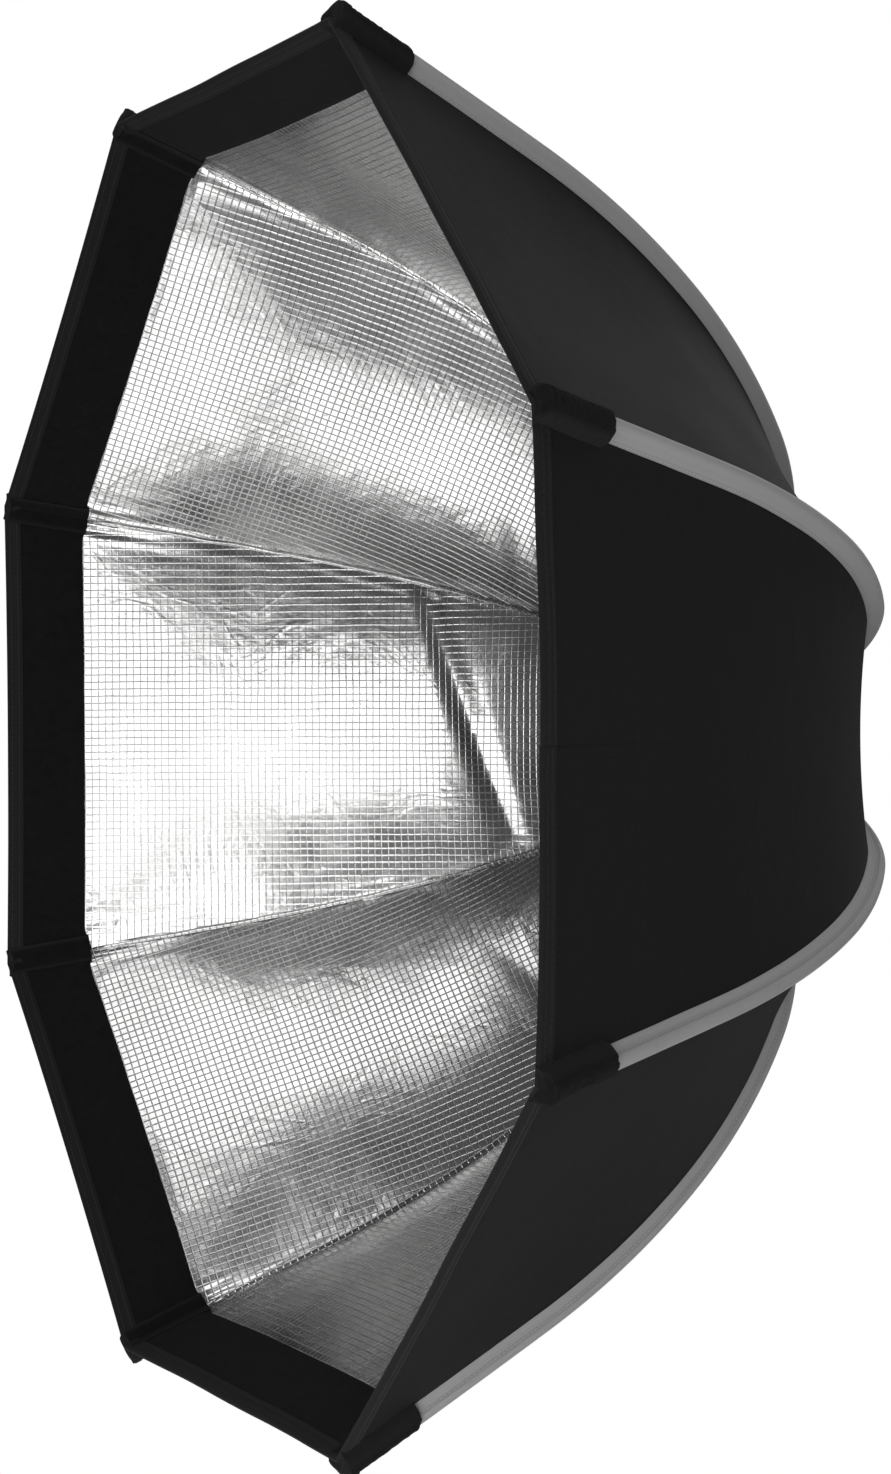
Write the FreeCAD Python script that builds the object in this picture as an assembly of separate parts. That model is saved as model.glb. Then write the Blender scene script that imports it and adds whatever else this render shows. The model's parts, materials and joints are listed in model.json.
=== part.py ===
"""Folding octagonal softbox for a studio light, in millimetres.

Eight sprung rods hinge on a hub ring behind the light opening and carry eight fabric gores,
each made of two halves so that it can fold outwards between its rods. The axis of the box is Y:
the open front faces -Y, and the bayonet ring that locks onto the light faces +Y. The origin is
the centre of the seat of that ring. Each rod lies in a plane through the Y axis, and its shape
is set by stretches of tangent line and arc that run from its hinge pin to the rim.
"""

import FreeCAD
import Part
import math
import os

Vector = FreeCAD.Vector
ORIGIN = Vector(0, 0, 0)
AXIS = Vector(0, 1, 0)

# Rods: eight, set so that flats of the octagon face up, down and to both sides.
ROD_COUNT = 8
SPACING = 360.0 / ROD_COUNT
HALF_SPACING = SPACING / 2
ROD_ANGLES = [HALF_SPACING + SPACING * i for i in range(ROD_COUNT)]

# Bayonet ring that locks onto the light, from the opening outwards.
OPENING_R = 49.0
SPIGOT_WALL = 9.5
SPIGOT_R = OPENING_R + SPIGOT_WALL
SPIGOT_LENGTH = 9.0
LUG_REACH = 7.0
LUG_OUTER_R = SPIGOT_R + LUG_REACH
LUG_THICKNESS = 3.0
LUG_SET_BACK = 0.5
LUG_COUNT = 3
LUG_HALF_ANGLE = 12.0
LUG_ROOM = 1.5
SEAT_INNER_R = LUG_OUTER_R + LUG_ROOM
SEAT_WIDTH = 9.0
SEAT_STEP = 1.0
FLANGE_THICKNESS = 5.0
RING_OUTER_R = SEAT_INNER_R + SEAT_WIDTH
RING_EDGE = 0.8
FACE_GAP = 0.05

# Hinge pins.
PIN_R = 1.5
PIN_LENGTH = 26.0
PIN_FIT = 0.05
PIN_PAST_RING = 3.0
PIN_RADIUS_FROM_AXIS = RING_OUTER_R + PIN_PAST_RING

# Rod and what is on it.
ROD_R = 2.2
ROD_START = 17.0
ROD_SHORT_OF_RIM = 3.0
SLIDE_FIT = 0.05
TIP_CAP_WALL = 1.2
TIP_CAP_LENGTH = 9.0
SLEEVE_GAP = 0.3
SLEEVE_WALL = 1.5
SLEEVE_END_GAP = 1.0

# Rod holder: a lever with an eye on the hinge pin, a tapered socket and a short tail.
HOLDER_EYE_R = 6.0
HOLDER_ROOT_WALL = 3.0
HOLDER_MOUTH_WALL = 2.0
HOLDER_RIM_WALL = 2.6
HOLDER_ROOT_R = ROD_R + HOLDER_ROOT_WALL
HOLDER_MOUTH_R = ROD_R + HOLDER_MOUTH_WALL
HOLDER_RIM_R = ROD_R + HOLDER_RIM_WALL
HOLDER_RIM_LENGTH = 5.0
HOLDER_CHEEK = 0.3
HOLDER_WIDTH = 2 * (HOLDER_ROOT_R + HOLDER_CHEEK)
HOLDER_END = 44.0
HOLDER_TO_SLEEVE = 2.0
TAIL_LENGTH = 8.0
TAIL_THICKNESS = 4.0

# Hub body, from its back face forwards and from its bore outwards.
HUB_LIP = 0.5
HUB_INNER_R = SPIGOT_R - HUB_LIP
HUB_RIM = 9.0
HUB_OUTER_R = PIN_RADIUS_FROM_AXIS + HUB_RIM
HUB_EDGE_R = 3.0
HUB_BACK_Y = -FLANGE_THICKNESS
SLOT_FLOOR_WALL = 3.0
SLOT_FLOOR_Y = HUB_BACK_Y - SLOT_FLOOR_WALL
SLOT_SIDE_GAP = 0.5
SLOT_BEHIND_PIN = 13.0
SLOT_START_R = PIN_RADIUS_FROM_AXIS - SLOT_BEHIND_PIN
EYE_ROOM = 4.0
PIN_Y = SLOT_FLOOR_Y - HOLDER_EYE_R - EYE_ROOM
PIN_FROM_FRONT = 11.0
HUB_FRONT_Y = PIN_Y - PIN_FROM_FRONT
POCKET_INSIDE_PIN = 6.0
POCKET_START_R = PIN_RADIUS_FROM_AXIS - POCKET_INSIDE_PIN
POCKET_WALL = 4.0
POCKET_END_R = HUB_OUTER_R - POCKET_WALL
POCKET_HALF_ANGLE = 8.0
POCKET_DEPTH = 14.0

# Course of a rod from its hinge pin: lean in degrees from straight outwards, then (length, turn).
FIRST_LEAN = 8.2
HOLDER_STRETCH = (HOLDER_END + HOLDER_TO_SLEEVE, 0.0)
BACK_BEND = (70.0, 27.0)
SIDE_BEND = (110.0, 15.9)
MIDDLE_BEND = (130.0, 12.9)
FRONT_BEND = (153.3, 0.9)
COURSE = [HOLDER_STRETCH, BACK_BEND, SIDE_BEND, MIDDLE_BEND, FRONT_BEND]
COURSE_PAST_RIM = 10.0
RIM_AT = sum(length for length, _ in COURSE) - COURSE_PAST_RIM

# Fabric gores: outer cloth and lining together.
CLOTH_THICKNESS = 1.0
CLOTH_TO_HOLDER = 0.2
CLOTH_UNDER_ROD = HOLDER_RIM_R + CLOTH_TO_HOLDER
GORE_INSIDE_HUB_RIM = 3.5
GORE_HUB_R = HUB_OUTER_R - GORE_INSIDE_HUB_RIM
GORE_HUB_GAP = 0.8
GORE_GAP = 0.4
CUT_PAST_RIM = 80.0

# Corner tabs.
TAB_LENGTH = 52.0
TAB_WIDTH = 17.0
TAB_WALL = 1.5
TAB_OVER_ROD = ROD_R + TIP_CAP_WALL + SLEEVE_GAP + TAB_WALL
TAB_TO_CLOTH = 0.6
TAB_UNDER_ROD = CLOTH_UNDER_ROD - TAB_TO_CLOTH
TAB_CORNER_R = 2.5
TAB_PAST_RIM = 3.0
TAB_FLOOR = 1.6

# Lock ring in a channel at the back of the hub body, and its thumb lever.
LOCK_GAP = 0.3
LOCK_PAST_LUGS = 0.8
LOCK_INNER_R = LUG_OUTER_R + LOCK_PAST_LUGS
LOCK_WIDTH = 3.4
LOCK_OUTER_R = LOCK_INNER_R + LOCK_WIDTH
LOCK_THICKNESS = 3.1
NOSE_REACH = 2.3
NOSE_OUTER_R = LOCK_OUTER_R + NOSE_REACH
NOSE_HALF_ANGLE = 3.0
LEVER_ANGLE = 90.0
LEVER_TRAVEL = 12.0
LEVER_SIDE_GAP = 1.0
ARM_WIDTH = 8.0
ARM_PAST_HUB = 6.0
ARM_END_R = HUB_OUTER_R + ARM_PAST_HUB
GRIP_PAST_HUB = 1.5
GRIP_START_R = HUB_OUTER_R + GRIP_PAST_HUB
GRIP_WALL = 7.0
GRIP_END_R = ARM_END_R + GRIP_WALL
GRIP_SIDE = 4.0
GRIP_WIDTH = ARM_WIDTH + 2 * GRIP_SIDE
GRIP_OVER = 3.45
GRIP_DEPTH = LOCK_THICKNESS + 2 * GRIP_OVER
GRIP_EDGE_R = 1.5
GRIP_RIBS = 4
GRIP_RIB_R = 0.7

# Front ring that holds the inner ends of the gores.
FRONT_RING_SET_BACK = 2.0
FRONT_RING_INNER_R = HUB_INNER_R + FRONT_RING_SET_BACK
FRONT_RING_TO_GORE = 2.0
FRONT_RING_OUTER_R = GORE_HUB_R * math.cos(math.radians(HALF_SPACING)) - FRONT_RING_TO_GORE
FRONT_RING_THICKNESS = 3.4
FRONT_RING_EDGE = 1.0

# Screws.
SCREW_R = 1.5
SCREW_HEAD_R = 2.75
SCREW_HEAD_DEPTH = 1.6
SCREW_LENGTH = 11.0
SCREW_GAP = 0.1
SCREW_SOCKET_R = 1.1
SCREW_SOCKET_DEPTH = 1.0
RING_SCREW_CIRCLE_R = (SPIGOT_R + LUG_OUTER_R) / 2
RING_SCREW_OFFSET = 18.0
FRONT_SCREW_CIRCLE_R = (FRONT_RING_INNER_R + FRONT_RING_OUTER_R) / 2

STRAIGHT = 1e-9


def path_place(s, inset=0.0):
    """Radius, y and lean of the rod's course at distance s from the pin, moved inset towards the axis."""
    radius, y, lean = PIN_RADIUS_FROM_AXIS, PIN_Y, math.radians(FIRST_LEAN)
    for length, turn in COURSE:
        run = min(max(s, 0.0), length)
        bend = math.radians(turn) * run / length
        if abs(bend) < STRAIGHT:
            radius += run * math.cos(lean)
            y -= run * math.sin(lean)
        else:
            arc_r = run / bend
            radius += arc_r * (math.sin(lean + bend) - math.sin(lean))
            y -= arc_r * (math.cos(lean) - math.cos(lean + bend))
        lean += bend
        s -= length
        if s <= 0:
            break
    return radius - inset * math.sin(lean), y - inset * math.cos(lean), lean


def path_point(s, inset=0.0):
    radius, y, _ = path_place(s, inset)
    return Vector(radius, y, 0)


def path_direction(s):
    lean = path_place(s)[2]
    return Vector(math.cos(lean), -math.sin(lean), 0)


def path_edges(start, end, inset=0.0):
    """Lines and arcs of the rod's course from start to end, moved inset towards the axis."""
    edges = []
    joint = 0.0
    for length, turn in COURSE:
        low, high = max(start, joint), min(end, joint + length)
        if high > low:
            a, b = path_point(low, inset), path_point(high, inset)
            if abs(turn) < STRAIGHT:
                edges.append(Part.LineSegment(a, b).toShape())
            else:
                edges.append(Part.Arc(a, path_point((low + high) / 2, inset), b).toShape())
        joint += length
    return edges


def rod_along(start, end, radius):
    """Round bar that follows the rod's course."""
    circle = Part.Circle(path_point(start), path_direction(start), radius).toShape()
    return Part.Wire(path_edges(start, end)).makePipeShell([Part.Wire([circle])], True, False)


def turned(shape, angle):
    """Copy of a shape made in the XY plane, carried round the Y axis to a rod's angle."""
    copy = shape.copy()
    copy.rotate(ORIGIN, AXIS, -angle)
    return copy


def around(angle, radius, y):
    """Point at an angle round the Y axis, counted from +X towards +Z."""
    a = math.radians(angle)
    return Vector(radius * math.cos(a), y, radius * math.sin(a))


def revolved(points):
    """Solid of revolution about the Y axis from an outline of (radius, y)."""
    corners = [Vector(r, y, 0) for r, y in points]
    outline = Part.makePolygon(corners + corners[:1])
    return Part.Face(outline).revolve(ORIGIN, AXIS, 360)


def ring(inner, outer, low_y, high_y):
    height = high_y - low_y
    base = Vector(0, low_y, 0)
    return Part.makeCylinder(outer, height, base, AXIS).cut(
        Part.makeCylinder(inner, height, base, AXIS)
    )


def sector(inner, outer, low_y, high_y, middle, half_angle):
    """Part of a ring that reaches half_angle to each side of the angle middle."""
    corners = [
        Vector(inner, low_y, 0),
        Vector(outer, low_y, 0),
        Vector(outer, high_y, 0),
        Vector(inner, high_y, 0),
    ]
    face = Part.Face(Part.makePolygon(corners + corners[:1]))
    wedge = face.revolve(ORIGIN, AXIS, -2 * half_angle)
    return turned(wedge, middle - half_angle)


def bar(angle, start_r, end_r, width, low_y, high_y):
    """Straight radial bar at an angle."""
    box = Part.makeBox(
        end_r - start_r, high_y - low_y, width, Vector(start_r, low_y, -width / 2)
    )
    return turned(box, angle)


def screw(angle, circle_r, y, way):
    """Countersunk screw whose head is flush at y, and which goes in along way, +1 or -1 on Y."""
    direction = Vector(0, way, 0)
    head = Part.makeCone(
        SCREW_HEAD_R, SCREW_R, SCREW_HEAD_DEPTH, around(angle, circle_r, y), direction
    )
    shank = Part.makeCylinder(SCREW_R, SCREW_LENGTH, around(angle, circle_r, y), direction)
    socket = Part.makeCylinder(
        SCREW_SOCKET_R, SCREW_SOCKET_DEPTH, around(angle, circle_r, y), direction
    )
    return head.fuse(shank).cut(socket)


def screw_hole(angle, circle_r, y, way):
    direction = Vector(0, way, 0)
    head = Part.makeCone(
        SCREW_HEAD_R + SCREW_GAP,
        SCREW_R + SCREW_GAP,
        SCREW_HEAD_DEPTH,
        around(angle, circle_r, y),
        direction,
    )
    shank = Part.makeCylinder(
        SCREW_R + SCREW_GAP,
        SCREW_LENGTH + SCREW_GAP,
        around(angle, circle_r, y),
        direction,
    )
    return head.fuse(shank)


SPIGOT_BACK_Y = SPIGOT_LENGTH
SEAT_RECESS_Y = -SEAT_STEP
LUG_ANGLES = [LEVER_ANGLE + 360.0 / LUG_COUNT * i for i in range(LUG_COUNT)]
RING_SCREW_ANGLES = [
    angle + 180.0 / LUG_COUNT + side
    for angle in LUG_ANGLES
    for side in (-RING_SCREW_OFFSET, RING_SCREW_OFFSET)
]
GORE_ANGLES = [SPACING * i for i in range(ROD_COUNT)]
FRONT_RING_BACK_Y = HUB_FRONT_Y - FACE_GAP
FRONT_RING_FACE_Y = FRONT_RING_BACK_Y - FRONT_RING_THICKNESS
SLOT_HALF_WIDTH = HOLDER_WIDTH / 2 + SLOT_SIDE_GAP
LOCK_BACK_Y = HUB_BACK_Y - LOCK_GAP
LOCK_FRONT_Y = LOCK_BACK_Y - LOCK_THICKNESS
ROD_END = RIM_AT - ROD_SHORT_OF_RIM
TAB_START = RIM_AT + TAB_PAST_RIM - TAB_LENGTH
SLEEVE_INNER_R = ROD_R + SLEEVE_GAP
SLEEVE_OUTER_R = SLEEVE_INNER_R + SLEEVE_WALL
SLEEVE_START = HOLDER_END + HOLDER_TO_SLEEVE
SLEEVE_END = TAB_START - SLEEVE_END_GAP


def make_mount_ring():
    """Metal bayonet ring: flange with a raised seat, a spigot and three lugs."""
    body = revolved(
        [
            (OPENING_R, HUB_BACK_Y + FACE_GAP),
            (RING_OUTER_R - RING_EDGE, HUB_BACK_Y + FACE_GAP),
            (RING_OUTER_R, HUB_BACK_Y + FACE_GAP + RING_EDGE),
            (RING_OUTER_R, -RING_EDGE),
            (RING_OUTER_R - RING_EDGE, 0),
            (SEAT_INNER_R, 0),
            (SEAT_INNER_R, SEAT_RECESS_Y),
            (SPIGOT_R, SEAT_RECESS_Y),
            (SPIGOT_R, SPIGOT_BACK_Y - RING_EDGE),
            (SPIGOT_R - RING_EDGE, SPIGOT_BACK_Y),
            (OPENING_R, SPIGOT_BACK_Y),
        ]
    )
    lug_back = SPIGOT_BACK_Y - LUG_SET_BACK - RING_EDGE
    for angle in LUG_ANGLES:
        lug = sector(
            SPIGOT_R - 1.0,
            LUG_OUTER_R,
            lug_back - LUG_THICKNESS,
            lug_back,
            angle,
            LUG_HALF_ANGLE,
        )
        body = body.fuse(lug)
    for angle in RING_SCREW_ANGLES:
        body = body.cut(screw_hole(angle, RING_SCREW_CIRCLE_R, SEAT_RECESS_Y, -1))
    return body.removeSplitter()


def lock_channel():
    """Room at the back of the hub body for the lock ring, its noses and the swing of its lever."""
    low = LOCK_FRONT_Y - LOCK_GAP
    high = HUB_BACK_Y + 1.0
    room = ring(LOCK_INNER_R - LOCK_GAP, NOSE_OUTER_R + LOCK_GAP, low, high)
    reach = math.degrees((ARM_WIDTH / 2 + LEVER_SIDE_GAP) / LOCK_OUTER_R)
    swing = sector(
        LOCK_OUTER_R,
        HUB_OUTER_R + 2.0,
        low,
        high,
        LEVER_ANGLE - LEVER_TRAVEL / 2,
        LEVER_TRAVEL / 2 + reach,
    )
    return room.fuse(swing)


def make_hub_body():
    """Moulded hub: a ring with eight clevis slots, lightening pockets and the lock channel."""
    edge = HUB_EDGE_R
    body = revolved(
        [
            (HUB_INNER_R, HUB_FRONT_Y),
            (HUB_OUTER_R - edge, HUB_FRONT_Y),
            (HUB_OUTER_R, HUB_FRONT_Y + edge),
            (HUB_OUTER_R, HUB_BACK_Y - edge),
            (HUB_OUTER_R - edge, HUB_BACK_Y),
            (HUB_INNER_R, HUB_BACK_Y),
        ]
    )
    body = body.cut(lock_channel())
    for angle in ROD_ANGLES:
        slot = bar(
            angle,
            SLOT_START_R,
            HUB_OUTER_R + 2.0,
            2 * SLOT_HALF_WIDTH,
            HUB_FRONT_Y - 1.0,
            SLOT_FLOOR_Y,
        )
        pin_seat = Part.makeCylinder(
            PIN_R,
            PIN_LENGTH,
            Vector(PIN_RADIUS_FROM_AXIS, PIN_Y, -PIN_LENGTH / 2),
            Vector(0, 0, 1),
        )
        body = body.cut(slot).cut(turned(pin_seat, angle))
    for angle in GORE_ANGLES:
        body = body.cut(
            sector(
                POCKET_START_R,
                POCKET_END_R,
                HUB_FRONT_Y - 1.0,
                HUB_FRONT_Y + POCKET_DEPTH,
                angle,
                POCKET_HALF_ANGLE,
            )
        )
        body = body.cut(screw_hole(angle, FRONT_SCREW_CIRCLE_R, FRONT_RING_FACE_Y, 1))
    for angle in RING_SCREW_ANGLES:
        body = body.cut(screw_hole(angle, RING_SCREW_CIRCLE_R, SEAT_RECESS_Y, -1))
    return body


def make_front_ring():
    """Moulded ring on the inside of the box that holds the inner ends of the gores."""
    edge = FRONT_RING_EDGE
    body = revolved(
        [
            (FRONT_RING_INNER_R, FRONT_RING_BACK_Y),
            (FRONT_RING_INNER_R, FRONT_RING_FACE_Y + edge),
            (FRONT_RING_INNER_R + edge, FRONT_RING_FACE_Y),
            (FRONT_RING_OUTER_R - edge, FRONT_RING_FACE_Y),
            (FRONT_RING_OUTER_R, FRONT_RING_FACE_Y + edge),
            (FRONT_RING_OUTER_R, FRONT_RING_BACK_Y),
        ]
    )
    for angle in ROD_ANGLES:
        sweep_room = bar(
            angle,
            SLOT_START_R,
            FRONT_RING_OUTER_R + 2.0,
            2 * SLOT_HALF_WIDTH,
            FRONT_RING_FACE_Y - 1.0,
            FRONT_RING_BACK_Y + 1.0,
        )
        body = body.cut(sweep_room)
    for angle in GORE_ANGLES:
        body = body.cut(screw_hole(angle, FRONT_SCREW_CIRCLE_R, FRONT_RING_FACE_Y, 1))
    return body


def make_lock_ring():
    """Turning ring behind the holders' tails, with a short nose for each and an arm for the lever."""
    body = ring(LOCK_INNER_R, LOCK_OUTER_R, LOCK_FRONT_Y, LOCK_BACK_Y)
    for angle in ROD_ANGLES:
        nose = sector(
            LOCK_OUTER_R - 1.0,
            NOSE_OUTER_R,
            LOCK_FRONT_Y,
            LOCK_BACK_Y,
            angle,
            NOSE_HALF_ANGLE,
        )
        body = body.fuse(nose)
    arm = bar(
        LEVER_ANGLE,
        LOCK_OUTER_R - 1.0,
        ARM_END_R,
        ARM_WIDTH,
        LOCK_FRONT_Y,
        LOCK_BACK_Y,
    )
    return body.fuse(arm).removeSplitter()


def make_lock_lever():
    """Thumb grip pushed onto the arm of the lock ring, ribbed on its outer end."""
    middle_y = (LOCK_FRONT_Y + LOCK_BACK_Y) / 2
    grip = Part.makeBox(
        GRIP_END_R - GRIP_START_R,
        GRIP_DEPTH,
        GRIP_WIDTH,
        Vector(GRIP_START_R, middle_y - GRIP_DEPTH / 2, -GRIP_WIDTH / 2),
    )
    grip = grip.makeFillet(GRIP_EDGE_R, grip.Edges)
    rib_room = GRIP_WIDTH - 4 * GRIP_EDGE_R
    for i in range(GRIP_RIBS):
        across = -rib_room / 2 + rib_room * i / (GRIP_RIBS - 1)
        rib = Part.makeCylinder(
            GRIP_RIB_R,
            GRIP_DEPTH - 2 * GRIP_EDGE_R,
            Vector(GRIP_END_R, middle_y - GRIP_DEPTH / 2 + GRIP_EDGE_R, across),
            AXIS,
        )
        grip = grip.fuse(rib)
    arm_seat = Part.makeBox(
        ARM_END_R - GRIP_START_R + SLIDE_FIT + 1.0,
        LOCK_THICKNESS + 2 * SLIDE_FIT,
        ARM_WIDTH + 2 * SLIDE_FIT,
        Vector(
            GRIP_START_R - 1.0,
            LOCK_FRONT_Y - SLIDE_FIT,
            -ARM_WIDTH / 2 - SLIDE_FIT,
        ),
    )
    return turned(grip.cut(arm_seat), LEVER_ANGLE)


def make_rod_holder():
    """Lever that swings on the hinge pin and takes the rod in its socket."""
    pin = Vector(PIN_RADIUS_FROM_AXIS, PIN_Y, 0)
    way = path_direction(0)
    eye = Part.makeCylinder(
        HOLDER_EYE_R, HOLDER_WIDTH, pin - Vector(0, 0, HOLDER_WIDTH / 2), Vector(0, 0, 1)
    )
    socket = Part.makeCone(HOLDER_ROOT_R, HOLDER_MOUTH_R, HOLDER_END, pin, way)
    rim = Part.makeCylinder(
        HOLDER_RIM_R, HOLDER_RIM_LENGTH, path_point(HOLDER_END - HOLDER_RIM_LENGTH), way
    )
    tail = Part.makeBox(
        TAIL_LENGTH,
        TAIL_THICKNESS,
        HOLDER_WIDTH,
        Vector(-TAIL_LENGTH, -TAIL_THICKNESS / 2, -HOLDER_WIDTH / 2),
    )
    tail.rotate(ORIGIN, Vector(0, 0, 1), -FIRST_LEAN)
    tail.translate(pin)
    body = eye.fuse([socket, rim, tail])
    bore = Part.makeCylinder(
        ROD_R + SLIDE_FIT, HOLDER_END, path_point(ROD_START - SLIDE_FIT), way
    )
    pin_bore = Part.makeCylinder(
        PIN_R + PIN_FIT, PIN_LENGTH, pin - Vector(0, 0, PIN_LENGTH / 2), Vector(0, 0, 1)
    )
    return body.cut(bore).cut(pin_bore)


def make_rod():
    """Sprung steel rod with a cap on its tip."""
    bare = rod_along(ROD_START, ROD_END, ROD_R)
    cap_start = ROD_END + SLIDE_FIT + TIP_CAP_WALL - TIP_CAP_LENGTH
    cap = rod_along(cap_start, ROD_END + SLIDE_FIT + TIP_CAP_WALL, ROD_R + TIP_CAP_WALL)
    cap = cap.cut(rod_along(cap_start - 1.0, ROD_END + SLIDE_FIT, ROD_R + SLIDE_FIT))
    return Part.makeCompound([bare, cap])


def make_rod_sleeve():
    """Fabric channel that holds the rod on the outside of the box."""
    outer = rod_along(SLEEVE_START, SLEEVE_END, SLEEVE_OUTER_R)
    bore = rod_along(SLEEVE_START - 1.0, SLEEVE_END + 1.0, SLEEVE_INNER_R)
    return outer.cut(bore)


def make_corner_tab():
    """Fleece pocket over the tip of a rod at a corner of the rim."""
    start = TAB_START
    block = Part.makeBox(
        TAB_LENGTH,
        TAB_OVER_ROD + TAB_UNDER_ROD,
        TAB_WIDTH,
        Vector(0, -TAB_UNDER_ROD, -TAB_WIDTH / 2),
    )
    long_edges = [e for e in block.Edges if abs(e.Length - TAB_LENGTH) < STRAIGHT]
    block = block.makeFillet(TAB_CORNER_R, long_edges)
    block.rotate(ORIGIN, Vector(0, 0, 1), -math.degrees(path_place(start)[2]))
    block.translate(path_point(start))
    room = rod_along(
        start - 1.0,
        start + TAB_LENGTH - TAB_FLOOR,
        ROD_R + TIP_CAP_WALL + SLEEVE_GAP,
    )
    return block.cut(room)


def gore_outline():
    """Closed outline of a gore's section along a rod, as points of radius and y."""
    outer = path_edges(SLEEVE_START, RIM_AT, CLOTH_UNDER_ROD)
    inner = path_edges(SLEEVE_START, RIM_AT, CLOTH_UNDER_ROD + CLOTH_THICKNESS)
    hub_outer = Vector(GORE_HUB_R, HUB_FRONT_Y - GORE_HUB_GAP, 0)
    hub_inner = hub_outer - Vector(0, CLOTH_THICKNESS, 0)
    lines = [
        Part.LineSegment(hub_outer, path_point(SLEEVE_START, CLOTH_UNDER_ROD)).toShape(),
        Part.LineSegment(
            hub_inner, path_point(SLEEVE_START, CLOTH_UNDER_ROD + CLOTH_THICKNESS)
        ).toShape(),
        Part.LineSegment(hub_outer, hub_inner).toShape(),
        Part.LineSegment(
            path_point(RIM_AT, CLOTH_UNDER_ROD),
            path_point(RIM_AT, CLOTH_UNDER_ROD + CLOTH_THICKNESS),
        ).toShape(),
    ]
    return Part.Wire(Part.__sortEdges__(outer + inner + lines))


def make_half_gore(side):
    """Half of the gore that is centred on +X. side is +1 for the half towards +Z, else -1."""
    flatten = FreeCAD.Matrix()
    flatten.scale(math.cos(math.radians(HALF_SPACING)), 1, 1)
    section = Part.Face(gore_outline().transformGeometry(flatten))
    rim_r = path_place(RIM_AT)[0]
    half_width = rim_r * math.sin(math.radians(HALF_SPACING))
    sheet = section.extrude(Vector(0, 0, side * half_width))
    seam = GORE_GAP / 2
    reach = rim_r + CUT_PAST_RIM
    edge = math.radians(HALF_SPACING)
    seam_x = seam / math.sin(edge)
    corners = [
        Vector(seam / math.tan(edge) + seam_x, 0, side * seam),
        Vector(reach, 0, side * seam),
        Vector(reach, 0, side * (reach - seam_x) * math.tan(edge)),
    ]
    wedge = Part.Face(Part.makePolygon(corners + corners[:1]))
    low = path_place(RIM_AT)[1] - CUT_PAST_RIM
    wedge.translate(Vector(0, low, 0))
    return sheet.common(wedge.extrude(Vector(0, -low, 0)))


def export(name, *shapes):
    """Writes one node, which may hold several solids."""
    solids = [solid for shape in shapes for solid in shape.Solids]
    whole = solids[0] if len(solids) == 1 else Part.makeCompound(solids)
    if not whole.isValid():
        print("not valid:", name)
    whole.exportStep(os.path.join("parts", name + ".step"))


def main():
    os.makedirs("parts", exist_ok=True)
    export("mount_ring", make_mount_ring())
    export("hub_body", make_hub_body())
    export("front_ring", make_front_ring())
    export("lock_ring", make_lock_ring())
    export("lock_lever", make_lock_lever())
    export(
        "mount_ring_screws",
        *[screw(a, RING_SCREW_CIRCLE_R, SEAT_RECESS_Y, -1) for a in RING_SCREW_ANGLES],
    )
    export(
        "front_ring_screws",
        *[screw(a, FRONT_SCREW_CIRCLE_R, FRONT_RING_FACE_Y, 1) for a in GORE_ANGLES],
    )
    pin = Part.makeCylinder(
        PIN_R,
        PIN_LENGTH,
        Vector(PIN_RADIUS_FROM_AXIS, PIN_Y, -PIN_LENGTH / 2),
        Vector(0, 0, 1),
    )
    export("hinge_pins", *[turned(pin, a) for a in ROD_ANGLES])
    holder, rod, sleeve, tab = (
        make_rod_holder(),
        make_rod(),
        make_rod_sleeve(),
        make_corner_tab(),
    )
    for number, angle in enumerate(ROD_ANGLES, start=1):
        export(f"rod_holder_{number}", turned(holder, angle))
        export(f"rod_{number}", turned(rod, angle))
        export(f"rod_sleeve_{number}", turned(sleeve, angle))
        export(f"corner_tab_{number}", turned(tab, angle))
    for side, word, step in ((1, "below", 0), (-1, "above", 1)):
        half = make_half_gore(side)
        for number in range(1, ROD_COUNT + 1):
            angle = GORE_ANGLES[(number - 1 + step) % ROD_COUNT]
            export(f"gore_{word}_rod_{number}", turned(half, angle))
    radius, y, lean = path_place(RIM_AT)
    print("rim", round(radius, 2), round(y, 2), "lean", round(math.degrees(lean), 2))


main()
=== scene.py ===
"""Looks of a folding octagonal softbox: cloth, lining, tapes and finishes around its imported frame.

Metres. The axis of the box is Y, its open front faces -Y, and Z is up. A place on a rod is given by the
distance s along the rod's course from its hinge pin, and a place across a gore by a number that runs
from -1 at one rod to 1 at the next.
"""

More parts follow.
